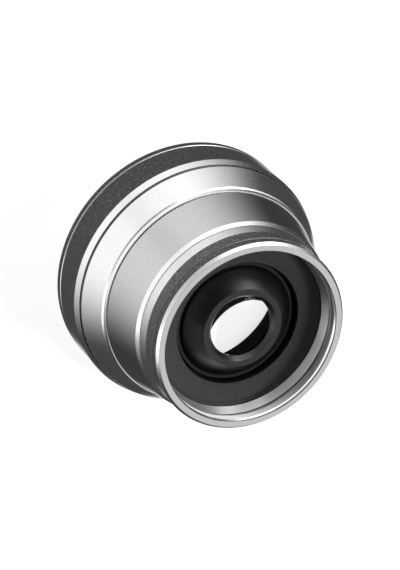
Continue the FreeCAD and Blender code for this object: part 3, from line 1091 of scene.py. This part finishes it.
@dataclass
class RearMount:
    """The ring with the female mount thread, in millimetres."""

    shop: Workshop
    front: float = 36.4
    front_radius: float = 26.944
    flare_rear: float = 39.3
    grip_radius: float = 26.594
    line_front: float = 43.1
    line_rear: float = 43.21
    line_bottom: float = 26.414
    heel_front_radius: float = 26.494
    heel_rear_radius: float = 26.554
    chamfer_front: float = 45.5
    rim: float = 46.3
    rim_radius: float = 25.914
    thread_minor: float = 24.094
    thread_depth: float = 0.406
    mouth_radius: float = 24.36
    mouth_front: float = 45.8
    thread_rear: float = 45.36
    thread_front: float = 43.0
    undercut_front: float = 42.0
    undercut_radius: float = 24.75
    cone_rear_radius: float = 24.294
    cone_front_radius: float = 23.25
    cone_front: float = 39.7
    lip_front: float = 38.8
    collar_bore: float = 24.744
    spigot_radius: float = 26.244
    spigot_front: float = 33.3
    lock_screw_count: int = 3
    lock_screw_bore: float = 0.85
    lock_screw_height: float = 34.8
    lock_screw_reach: Pair = (24.0, 27.5)
    # The undercut and the fine line take the dark finish that paints shade in them.
    shaded_undercut: Zone = Zone((24.314, 24.77), (41.99, 43.0))
    line: Zone = Zone((25.914, 26.569), (43.09, 43.22))
    # The outside takes the lighter grip copy, whose tone paints extra light on it.
    outside: Zone = Zone((26.464, FAR), (-FAR, 45.62))
    thread: Zone = Zone((0, 24.514), (42.98, 45.37))
    # The lead-in cone takes the flared copy, whose higher tone paints extra light on it.
    lead_in_cone: Zone = Zone((0, 24.294), (39.7, 42.0))
    mouth: Zone = Zone((0, 24.36), (45.36, 45.8))

    def build(self) -> None:
        """Builds the ring with its thread, undercut, lead-in cone, screw holes and the fine line outside; the
        undercut and the fine line are dark with painted shade.
        """
        shell = turn([
            (self.thread_minor, self.thread_front, 0), (self.undercut_radius, self.thread_front, 0),
            (self.undercut_radius, self.undercut_front, 0.05),
            (self.cone_rear_radius, self.undercut_front, 0.03),
            (self.cone_front_radius, self.cone_front, 0.04), (self.cone_front_radius, self.lip_front, 0.03),
            (self.collar_bore, self.lip_front, 0.03), (self.collar_bore, self.spigot_front, 0.08),
            (self.spigot_radius, self.spigot_front, 0.1), (self.spigot_radius, self.front, 0.02),
            (self.front_radius, self.front, 0.04), (self.grip_radius, self.flare_rear, 0),
            (self.grip_radius, self.line_front, 0.02), (self.line_bottom, self.line_front, 0),
            (self.line_bottom, self.line_rear, 0), (self.heel_front_radius, self.line_rear, 0.01),
            (self.heel_rear_radius, self.chamfer_front, 0.15), (self.rim_radius, self.rim, 0.05),
            (self.mouth_radius, self.rim, 0.04), (self.mouth_radius, self.mouth_front, 0.02),
            (self.thread_minor, self.thread_rear, 0),
        ], closed=False)
        thread = Crests(self.thread_minor, self.thread_depth, self.thread_front, self.thread_rear,
                        side=Side.OUTWARDS, fade=0.15)
        inner, outer = ((reach, 0, self.lock_screw_height) for reach in self.lock_screw_reach)
        holes = self.shop.ring(round_pin(self.lock_screw_bore, inner, outer), self.lock_screw_count,
                               self.shop.turned)
        whole = cut_with(welded(shell, thread.wall(self.shop.crests, self.shop.turned)), holes)
        # The undercut and the fine line outside get the dark finish of painted shade.
        piece("rear_mount_ring_turned", whole, self.shop.turned, "rear_mount_ring", {
            self.shaded_undercut: self.shop.shaded_undercut, self.line: self.shop.shaded_undercut, self.outside: self.shop.grip,
            self.thread: self.shop.bored, self.lead_in_cone: self.shop.flared, self.mouth: self.shop.lead_in,
        })


@dataclass
class RearOptic:
    """The dished shield ring, and the rear glass with what holds it, in millimetres."""

    shop: Workshop
    hole_major: float = 17.3
    hole_depth: float = 0.25
    hole_edge: float = 17.33
    hole_top: float = 38.05
    hole_thread_rear: float = 37.95
    boss_front: float = 31.05
    boss_radius: float = 19.0
    boss_rear: float = 36.65
    floor_radius: float = 22.194
    floor_height: float = 39.4
    strip_radius: float = 23.094
    strip_height: float = 39.7
    collar_radius: float = 24.644
    collar_bore: float = 23.444
    collar_rear: float = 37.3
    lip_front: float = 38.8
    foot_radius: float = 15.85
    foot_height: float = 36.3
    top_radius: float = 11.1
    top_height: float = 40.95
    bulge: float = 0.12
    bezel_bore: float = 12.5
    bezel_shelf: float = 38.7
    ring_inner: float = 9.5
    lip_radius: float = 8.5
    lip_height: float = 39.65
    lens_bore: float = 11.1
    lens_land: float = 39.25
    lens_radius: float = 11.0
    lens_front_land: float = 35.75
    lens_curve: float = 85.0
    lens_clear_rear: float = 9.1
    lens_clear_front: float = 10.5
    seat_front: float = 35.25
    neck_radius: float = 12.4
    neck_height: float = 38.6
    land_radius: float = 16.65
    cell_front: float = 34.45
    skirt_front: float = 30.65
    skirt_bore: float = 15.7
    cell_minor: float = 16.95
    cell_thread_depth: float = 0.22
    cell_thread_rear: float = 35.3
    fine_pitch: float = 0.5
    # The hole's wall takes the near-black lining, painted shade of the deep gap.
    hole: Zone = Zone((0, 17.32))
    # The cell's land takes the darker black, painted shade.
    land: Zone = Zone(z=(36.22, FAR))

    def build(self) -> None:
        """Builds and dresses the shield ring, the bezel, the cell and the lens."""
        self.shield_ring()
        self.bezel()
        self.cell()
        rear = dome(self.lens_clear_rear, self.lens_land, self.lens_curve, -1)
        front = dome(self.lens_clear_front, self.lens_front_land, self.lens_curve, 1)
        piece("rear_lens_polished", blank_of_glass(front, rear, self.lens_radius, 0.03, segments=192),
              self.shop.crown, "rear_lens")
        dress("rear_lens_seat", self.shop.liner_and_shade)

    def shield_ring(self) -> None:
        """Matte black dished floor whose hole is threaded for the cell."""
        shell = turn([
            (self.hole_major, self.boss_front, 0), (self.boss_radius, self.boss_front, 0.1),
            (self.boss_radius, self.boss_rear, 0.2), (self.collar_bore, self.collar_rear, 0.1),
            (self.collar_radius, self.collar_rear, 0.05), (self.collar_radius, self.lip_front, 0.05),
            (self.strip_radius, self.lip_front, 0.03), (self.strip_radius, self.strip_height, 0.06),
            (self.floor_radius, self.strip_height, 0.06), (self.floor_radius, self.floor_height, 0.04),
            (self.hole_edge, self.hole_top, 0.02), (self.hole_major, self.hole_thread_rear, 0),
        ], closed=False)
        thread = Crests(self.hole_major, self.hole_depth, self.boss_front, self.hole_thread_rear,
                        pitch=self.fine_pitch, steps=6, fade=0.1)
        whole = welded(shell, thread.wall(self.shop.crests, self.shop.black))
        # The hole's wall is near-black with painted shade.
        piece("rear_shield_ring_turned", whole, self.shop.black, "rear_shield_ring",
              {self.hole: self.shop.liner_and_shade})

    def bezel(self) -> None:
        """Glossy convex cone with its flat ring."""
        foot, top = (self.foot_radius, self.foot_height), (self.top_radius, self.top_height)
        middle = ((foot[0] + top[0]) / 2 + self.bulge, (foot[1] + top[1]) / 2 + self.bulge)
        shell = turn([
            (self.bezel_bore, self.foot_height, 0.05), *bow(foot, middle, top, 16),
            (self.ring_inner, self.top_height, 0.05), (self.lip_radius, self.lip_height, 0.04),
            (self.lip_radius, self.lens_land, 0), (self.lens_bore, self.lens_land, 0),
            (self.lens_bore, self.bezel_shelf, 0), (self.bezel_bore, self.bezel_shelf, 0.03),
        ])
        piece("rear_bezel_lacquered", shell, self.shop.gloss, "rear_bezel")

    def cell(self) -> None:
        """Holder of the rear glass, with the male thread that fits the shield ring."""
        shell = turn([
            (self.cell_minor, self.cell_thread_rear, 0), (self.land_radius, self.cell_thread_rear, 0),
            (self.land_radius, self.foot_height, 0.06), (self.neck_radius, self.foot_height, 0.03),
            (self.neck_radius, self.neck_height, 0.05), (self.lens_bore, self.neck_height, 0.05),
            (self.lens_bore, self.seat_front, 0.02), (self.lens_clear_front, self.seat_front, 0.03),
            (self.lens_clear_front, self.cell_front, 0.05), (self.skirt_bore, self.cell_front, 0.1),
            (self.skirt_bore, self.skirt_front, 0.1), (self.cell_minor, self.skirt_front, 0),
        ], closed=False)
        thread = Crests(self.cell_minor, self.cell_thread_depth, self.skirt_front, self.cell_thread_rear,
                        pitch=self.fine_pitch, side=Side.OUTWARDS, steps=6, fade=0.12)
        # The cell's near-black lining paints shade in the gap round the bezel's foot.
        whole = welded(shell, thread.wall(self.shop.crests, self.shop.liner_and_shade))
        piece("rear_cell_turned", whole, self.shop.liner_and_shade, "rear_cell",
              {self.land: self.shop.foot})


@dataclass
class FrontOptic:
    """The front glass with its bezel, retaining ring, spacer, doublet and cell, in millimetres."""

    shop: Workshop
    lens_radius: float = 30.35
    lens_clear: float = 29.35
    lens_front_land: float = 9.5
    lens_rear_land: float = 12.5
    lens_rear_clear: float = 27.55
    lens_front_curve: float = 120.0
    lens_rear_curve: float = 300.0
    bezel_front: float = 5.8
    bezel_lip: float = 6.5
    bezel_rear: float = 6.9
    bezel_outer: float = 34.1
    bezel_bore: float = 29.05
    filter_bore: float = 33.094
    ring_bore: float = 29.45
    ring_front: float = 7.2
    slot_count: int = 2
    slot_size: Way = (4.0, 1.6, 1.8)
    doublet_radius: float = 24.5
    doublet_front_clear: float = 23.7
    doublet_rear_clear: float = 23.4
    doublet_front_land: float = 15.4
    doublet_cement_land: float = 16.25
    doublet_rear_land: float = 21.35
    doublet_front_curve: float = 125.0
    doublet_cement_curve: float = 105.0
    doublet_rear_curve: float = 350.0
    cement_gap: float = 0.004

    def build(self) -> None:
        """Builds and dresses the front group."""
        self.front_bezel()
        self.retaining_ring()
        front = dome(self.lens_clear, self.lens_front_land, self.lens_front_curve, -1)
        rear = dome(self.lens_rear_clear, self.lens_rear_land, self.lens_rear_curve, -1)
        piece("front_lens_polished", blank_of_glass(front, rear, self.lens_radius, 0.05), self.shop.crown,
              "front_lens")
        self.doublet()
        dress("front_spacer", self.shop.liner_and_shade)
        dress("front_cell", self.shop.liner_and_shade)

    def front_bezel(self) -> None:
        """Plain black ring round the front glass."""
        shell = turn([
            (self.bezel_bore, self.bezel_lip, 0.05), (self.filter_bore, self.bezel_front, 0.1),
            (self.bezel_outer, self.bezel_front, 0.03), (self.bezel_outer, self.bezel_rear, 0.03),
            (self.bezel_bore, self.bezel_rear, 0.03),
        ])
        piece("front_bezel_turned", shell, self.shop.black, "front_bezel")

    def retaining_ring(self) -> None:
        """Threaded ring with two spanner slots."""
        shell = turn([
            (self.ring_bore, self.ring_front, 0.05), (self.lens_radius, self.ring_front, 0.05),
            (self.lens_radius, self.lens_front_land, 0.03), (self.ring_bore, self.lens_front_land, 0.03),
        ])
        slot = bmesh.new()
        middle = Vector(((self.ring_bore + self.lens_radius) / 2, 0, self.ring_front)) * MM
        box = Matrix.LocRotScale(middle, None, Vector(self.slot_size) * MM)
        bmesh.ops.create_cube(slot, size=1.0, matrix=box)
        whole = cut_with(welded(shell), self.shop.ring(slot, self.slot_count, self.shop.black))
        piece("front_retaining_ring_slotted", whole, self.shop.black, "front_retaining_ring")

    def doublet(self) -> None:
        """Cemented pair, drawn with a hair of clearance in the cement so that each face stays clean."""
        low, high = self.doublet_cement_land - self.cement_gap, self.doublet_cement_land + self.cement_gap
        front = dome(self.doublet_front_clear, self.doublet_front_land, self.doublet_front_curve, -1)
        cement = dome(self.doublet_radius, low, self.doublet_cement_curve, 1)
        piece("doublet_front_polished", blank_of_glass(front, cement, self.doublet_radius, 0.02),
              self.shop.crown, "doublet_front_lens")
        hollow = dome(self.doublet_radius, high, self.doublet_cement_curve, 1)
        rear = dome(self.doublet_rear_clear, self.doublet_rear_land, self.doublet_rear_curve, 1)
        piece("doublet_rear_polished", blank_of_glass(hollow, rear, self.doublet_radius, 0.05),
              self.shop.flint, "doublet_rear_lens")


@dataclass
class InnerBarrel:
    """The structural tube, ridged inside against stray light, and what is fastened to it, in millimetres."""

    shop: Workshop
    bore: float = 25.9
    flange_radius: float = 29.8
    tube_radius: float = 27.0
    front: float = 16.3
    flange_rear: float = 17.8
    stop_rear: float = 22.65
    tube_end: float = 23.75
    stop_bore: float = 24.5
    cone_rear_bore: float = 22.944
    cone_rear_radius: float = 23.994
    collar_front: float = 33.3
    collar_rear: float = 37.3
    collar_radius: float = 24.644
    collar_bore: float = 23.444
    ridge_rear: float = 34.4
    ridge_depth: float = 0.45
    ridge_pitch: float = 0.71
    screw_circle: float = 28.4
    screw_count: int = 3
    screw_radius: float = 0.8
    screw_bore: float = 0.95
    hole_overrun: float = 1.0
    head_radius: float = 1.3
    head_rear: float = 18.6
    socket_radius: float = 0.55
    socket_depth: float = 0.5
    shank_front: float = 14.3

    def build(self) -> None:
        """Builds and dresses the tube and its screws."""
        self.tube()
        self.cell_screws()
        dress("mount_lock_screws", self.shop.steel)
        dress("focus_shim", self.shop.brass)
        dress("light_stop", self.shop.liner_and_shade)

    def tube(self) -> None:
        """Structural tube with fine light-trapping ridges and the screws' holes."""
        shell = turn([
            (self.cone_rear_bore, self.ridge_rear, 0), (self.collar_bore, self.ridge_rear, 0),
            (self.collar_bore, self.collar_rear, 0.05), (self.collar_radius, self.collar_rear, 0.05),
            (self.collar_radius, self.collar_front, 0.05), (self.cone_rear_radius, self.collar_front, 0.05),
            (self.tube_radius, self.tube_end, 0.1), (self.tube_radius, self.flange_rear, 0.05),
            (self.flange_radius, self.flange_rear, 0.08), (self.flange_radius, self.front, 0.05),
            (self.bore, self.front, 0.05), (self.bore, self.stop_rear, 0.02),
            (self.stop_bore, self.stop_rear, 0.03), (self.stop_bore, self.tube_end, 0),
        ], closed=False)
        ridges = Crests(self.stop_bore, self.ridge_depth, self.tube_end, self.ridge_rear,
                        pitch=self.ridge_pitch, lead=Lead.RINGS, gain=self.cone_rear_bore - self.stop_bore,
                        fade=0.1, crest=0.08, root=0.1, steps=4)
        ends = ((self.screw_circle, 0, height) for height in
                (self.front - self.hole_overrun, self.flange_rear + self.hole_overrun))
        holes = self.shop.ring(round_pin(self.screw_bore, *ends), self.screw_count, self.shop.liner_and_shade)
        whole = cut_with(welded(shell, ridges.wall(self.shop.crests, self.shop.liner_and_shade)), holes)
        piece("inner_barrel_ridged", whole, self.shop.liner_and_shade, "inner_barrel")

    def cell_screws(self) -> None:
        """Low-head socket screws round the flange."""
        screw = turn([
            (0, self.shank_front, 0), (self.screw_radius, self.shank_front, 0.15),
            (self.screw_radius, self.flange_rear, 0), (self.head_radius, self.flange_rear, 0.04),
            (self.head_radius, self.head_rear, 0.15), (0, self.head_rear, 0),
        ], closed=False, segments=32)
        socket = prism(self.socket_radius, 2 * self.socket_depth,
                       Matrix.Translation((0, 0, self.head_rear * MM)), sides=6)
        screw = cut_with(welded(screw), plain(socket, "socket"))
        bmesh.ops.translate(screw, verts=screw.verts, vec=(self.screw_circle * MM, 0, 0))
        piece("cell_screws_socketed", self.shop.ring(screw, self.screw_count, self.shop.steel),
              self.shop.steel, "cell_screws")


@dataclass(frozen=True)
class Glow:
    """A soft bright patch of the room round a direction, with the cosines where it starts and is full."""

    way: Way
    start: float
    full: float
    tone: float

    def middle(self) -> Vector:
        """The direction of its middle, of length 1."""
        return Vector(self.way).normalized()


@dataclass(frozen=True)
class Lamp:
    """A soft square lamp that looks at the part: its place and side in metres, and its power in watts."""

    name: str
    place: Way
    size: float
    power: float

    def hang(self) -> None:
        """Puts the lamp into the scene; polished faces don't mirror it."""
        light = bpy.data.lights.new(self.name, "AREA")
        light.size, light.energy = self.size, self.power
        lamp = placed(self.name, light)
        lamp.location = self.place
        lamp.rotation_euler = (-Vector(self.place)).to_track_quat("-Z", "Y").to_euler()
        lamp.visible_glossy = False


@dataclass
class Studio:
    """Floor, light, surroundings and camera, in metres."""

    camera_place: Way = (-0.000042, 0.46946, 0.656552)
    camera_right: Way = (0.713345, -0.565764, 0.413581)
    camera_down: Way = (-0.700813, -0.575882, 0.420977)
    camera_ahead: Way = (0.0, -0.590145, -0.807297)
    lens: float = 189.47
    sensor: float = 36.0
    floor_half: float = 6.0
    floor_height: float = -0.00002
    floor_glow: float = 0.86
    shade_tone: float = 0.06
    key: Glow = Glow((0.93, 0.2, 0.33), 0.96, 0.993, 2.7)
    left: Glow = Glow((-0.9, 0.3, 0.26), 0.93, 0.985, 0.9)
    behind: Glow = Glow((0.0, -0.590145, -0.807297), 0.955, 0.995, 0.8)
    rear: Glow = Glow((0.0, -0.6, 0.8), 0.92, 0.985, 0.64)
    upper: Glow = Glow((0.643, 0.053, 0.766), 0.9, 0.97, 1.8)
    right: Glow = Glow((0.995, -0.26, 0.1), 0.245, 0.464, 1.0)
    # A patch of painted shade on the floor, which only the view through the glass meets: its middle, its
    # radius and its edge.
    shade_patch_middle: Pair = (-0.002, -0.028)
    shade_patch_radius: float = 0.0155
    shade_patch_edge: float = -0.022
    # A crescent of painted highlight beside the patch: its slant, its edge and its gain.
    crescent_way: Pair = (0.724, 0.689)
    crescent_edge: float = 0.00575
    crescent_gain: float = 0.2
    wall_side: Pair = (-0.3, 0.77)
    wall_foot: Pair = (-0.73, -0.69)
    wall_top: Pair = (0.34, 0.49)
    wall_middle: float = 0.06
    wall_half: float = 0.32
    wall_tone: float = 0.9
    wall_gain: float = 0.12
    right_foot: Pair = (-0.16, 0.16)
    right_top: Pair = (0.42, 0.64)
    lamps: tuple[Lamp, ...] = (Lamp("above", (0.34, -0.50, 0.90), 0.2, 7.6),
                               Lamp("left", (-0.95, 0.42, 0.34), 0.35, 0.6))

    def build(self) -> None:
        """Sets up everything round the part."""
        bpy.context.scene.view_settings.view_transform = "Standard"
        self.floor()
        self.surroundings()
        for lamp in self.lamps:
            lamp.hang()
        self.camera()

    def floor(self) -> None:
        """White floor that keeps a soft shadow, and can't be seen from below."""
        half, low = self.floor_half, self.floor_height
        mesh = bpy.data.meshes.new("floor")
        corners = ((-half, -half), (half, -half), (half, half), (-half, half))
        mesh.from_pydata([(x, y, low) for x, y in corners], [], [(0, 1, 2, 3)])
        p = Paint("studio_floor")
        p.set(Roughness=0.9, Specular_IOR_Level=0.1)
        p.tint(p.noise(size=3.0, detail=2.0), dark=0.38, light=0.42)
        self.glass_view(p)
        mix = p.node("ShaderNodeMixShader", {0: p.node("ShaderNodeNewGeometry").outputs["Backfacing"],
                                             1: p.shader.outputs[0],
                                             2: p.node("ShaderNodeBsdfTransparent").outputs[0]})
        sink = next(n for n in p.tree.nodes if n.type == "OUTPUT_MATERIAL")
        p.feed(sink.inputs["Surface"], mix.outputs[0])
        mesh.materials.append(p.material)
        floor = placed("floor", mesh)
        floor.visible_glossy = False

    def glass_view(self, p: Paint) -> None:
        """Makes the floor shine white for the camera, and for what looks through the glass.

        Under the front glass a dark patch of painted shade lies on it, which only the view through the glass
        meets, and the white beside the patch is a little brighter in a crescent at the left, a painted
        highlight.

        Args:
            p: the floor's paint.
        """
        seen = p.node("ShaderNodeLightPath").outputs
        split = p.node("ShaderNodeSeparateXYZ", {0: p.place}).outputs
        away = p.across(*(p.math("SUBTRACT", split[axis], self.shade_patch_middle[axis]) for axis in (0, 1)))
        # The patch paints shade into what the glass shows.
        shade_patch = p.math("MULTIPLY", p.math("GREATER_THAN", away, self.shade_patch_radius),
                      p.math("GREATER_THAN", split[1], self.shade_patch_edge))
        straight = p.math("LESS_THAN", seen["Diffuse Depth"], 0.5)
        through = p.math("MULTIPLY", seen["Is Transmission Ray"], straight)
        # The crescent paints a brighter highlight at the left of the white.
        slant = p.math("SUBTRACT", *(p.math("MULTIPLY", split[axis], self.crescent_way[axis])
                                     for axis in (0, 1)))
        crescent = p.math("MULTIPLY", p.math("LESS_THAN", slant, self.crescent_edge), self.crescent_gain)
        white = p.math("MULTIPLY", p.math("SUBTRACT", 1.0, shade_patch), p.math("ADD", crescent, 1.0))
        direct = p.math("MULTIPLY", seen["Is Camera Ray"], self.floor_glow)
        # Under the patch the floor's colour is darkened too, as painted shade for the view through the glass.
        hidden = p.math("SUBTRACT", 1.0, p.math("MULTIPLY", through, shade_patch))
        colour = p.shader.inputs["Base Color"].links[0].from_socket
        shade = p.node("ShaderNodeVectorMath", {0: colour, "Scale": hidden}, operation="SCALE")
        p.set(Emission_Color=WHITE, Base_Color=shade.outputs[0],
              Emission_Strength=p.math("ADD", direct, p.math("MULTIPLY", through, white)))

    def surroundings(self) -> None:
        """White room for the camera; soft boxes and dark gaps for what the metal reflects."""
        world = bpy.data.worlds.new("studio")
        bpy.context.scene.world = world
        world.use_nodes = True
        world.node_tree.nodes.clear()
        w = Wiring(world.node_tree)
        way = w.node("ShaderNodeTexCoord").outputs["Generated"]
        x, y, z = w.node("ShaderNodeSeparateXYZ", {0: way}).outputs

        def rise(value: NodeSocket, low: float, high: float, top: float = 1.0) -> NodeSocket:
            """Smooth rise of a value from low to high."""
            return w.ramp(value, low, high, 0.0, top, interpolation_type="SMOOTHSTEP")

        def shine(glow: Glow) -> NodeSocket:
            """Brightness of a patch of the room."""
            toward = w.node("ShaderNodeVectorMath", {0: way, 1: glow.middle()}, operation="DOT_PRODUCT")
            return rise(toward.outputs["Value"], glow.start, glow.full, glow.tone)

        side = w.math("ABSOLUTE", w.math("ADD", x, -self.wall_middle))
        wall = w.math("MULTIPLY", rise(y, *self.wall_side), rise(z, *self.wall_foot))
        wall = w.math("MULTIPLY", wall, w.math("ADD", rise(side, 0.0, self.wall_half, self.wall_gain),
                                               self.wall_tone))
        wall = w.math("MULTIPLY", wall, w.math("SUBTRACT", 1.0, rise(z, *self.wall_top)))
        right = w.math("MULTIPLY", shine(self.right), rise(z, *self.right_foot))
        right = w.math("MULTIPLY", right, w.math("SUBTRACT", 1.0, rise(z, *self.right_top)))
        path = w.node("ShaderNodeLightPath").outputs
        overhead = w.math("ADD", shine(self.rear), shine(self.upper))
        overhead = w.math("MULTIPLY", overhead, path["Is Glossy Ray"])
        total: NodeSocket | float = self.shade_tone
        for part in (wall, right, shine(self.key), shine(self.left), shine(self.behind), overhead):
            total = w.math("ADD", part, total)
        strength = w.node("ShaderNodeMix", {"Factor": path["Is Camera Ray"], "A": total, "B": 1.0})
        light = w.node("ShaderNodeBackground", {"Color": WHITE, "Strength": strength.outputs["Result"]})
        w.node("ShaderNodeOutputWorld", {"Surface": light.outputs[0]})

    def camera(self) -> None:
        """Camera of the photograph, found from the ellipses of the turned edges."""
        data = bpy.data.cameras.new("camera")
        data.lens, data.sensor_width, data.sensor_fit = self.lens, self.sensor, "AUTO"
        data.clip_start, data.clip_end = 0.05, 50.0
        camera = placed("camera", data)
        right, up, back = Vector(self.camera_right), -Vector(self.camera_down), -Vector(self.camera_ahead)
        turned = Matrix((right, up, back)).transposed().to_4x4()
        camera.matrix_world = Matrix.Translation(self.camera_place) @ turned
        bpy.context.scene.camera = camera


def main() -> None:
    """Builds the part, sub-assembly by sub-assembly, and then the studio."""
    logging.basicConfig(level=logging.INFO, format="%(name)s %(message)s")
    shop = Workshop()
    OuterBarrels(shop).build()
    RearMount(shop).build()
    RearOptic(shop).build()
    FrontOptic(shop).build()
    InnerBarrel(shop).build()
    Studio().build()


if __name__ == "__main__":
    main()
